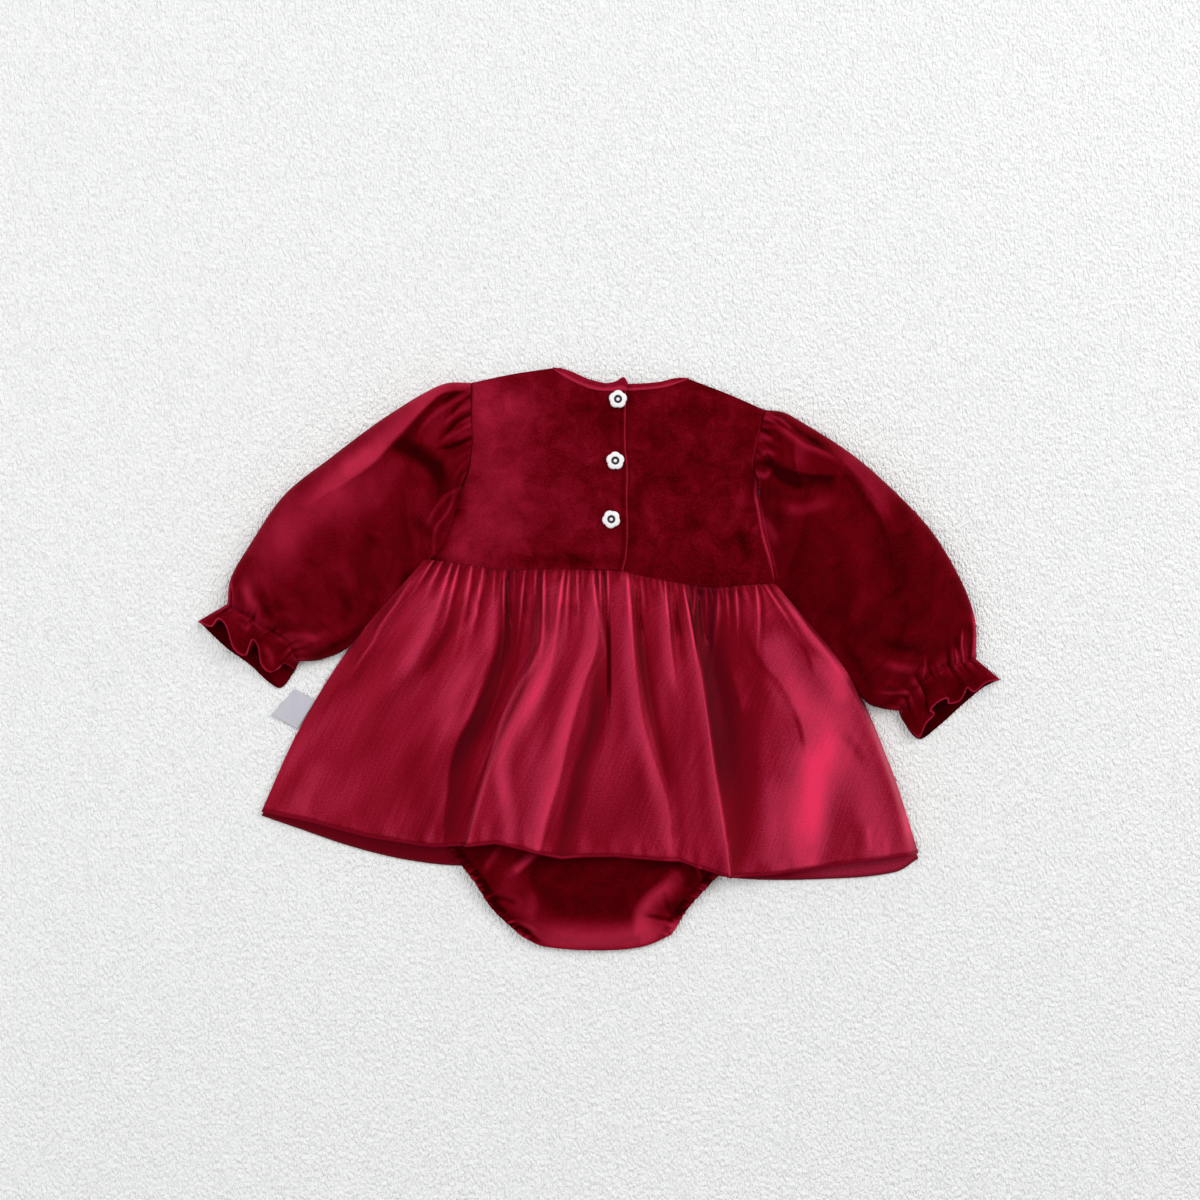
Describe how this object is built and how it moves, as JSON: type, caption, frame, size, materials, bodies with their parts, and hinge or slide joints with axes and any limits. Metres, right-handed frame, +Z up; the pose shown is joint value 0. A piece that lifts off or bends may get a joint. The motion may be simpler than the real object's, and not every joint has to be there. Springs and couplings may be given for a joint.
{
  "type": "skirted romper",
  "caption": "Long-sleeved baby romper with a gathered skirt over elasticated bloomers and a buttoned back placket, laid flat on its front with its back up",
  "frame": {"origin": "on the table under the middle of the laid-out garment", "axes": "+X across the garment from the left sleeve to the right sleeve as seen from above, +Y from the legs towards the neck, +Z up from the table"},
  "size_m": [0.544, 0.3958, 0.0211],
  "materials": {
    "velvet": "short-pile stretch velvet with a sheen where it turns away",
    "satin": "crimson satin with a broad gloss along its folds",
    "button": "glossy white plastic",
    "label_tape": "plain white woven tape with a slight shine"
  },
  "bodies": {
    "root": {"bodice_front": "velvet", "bodice_back_left": "velvet", "bodice_back_right": "velvet", "neck_binding_front": "velvet", "neck_binding_back_left": "velvet", "neck_binding_back_right": "velvet", "sleeve_left": "velvet", "sleeve_right": "velvet", "skirt_back": "satin", "skirt_front": "satin", "bloomer_back": "velvet", "bloomer_front": "velvet", "button_top": "button", "button_middle": "button", "button_bottom": "button", "care_label": "label_tape"}
  },
  "joints": []
}
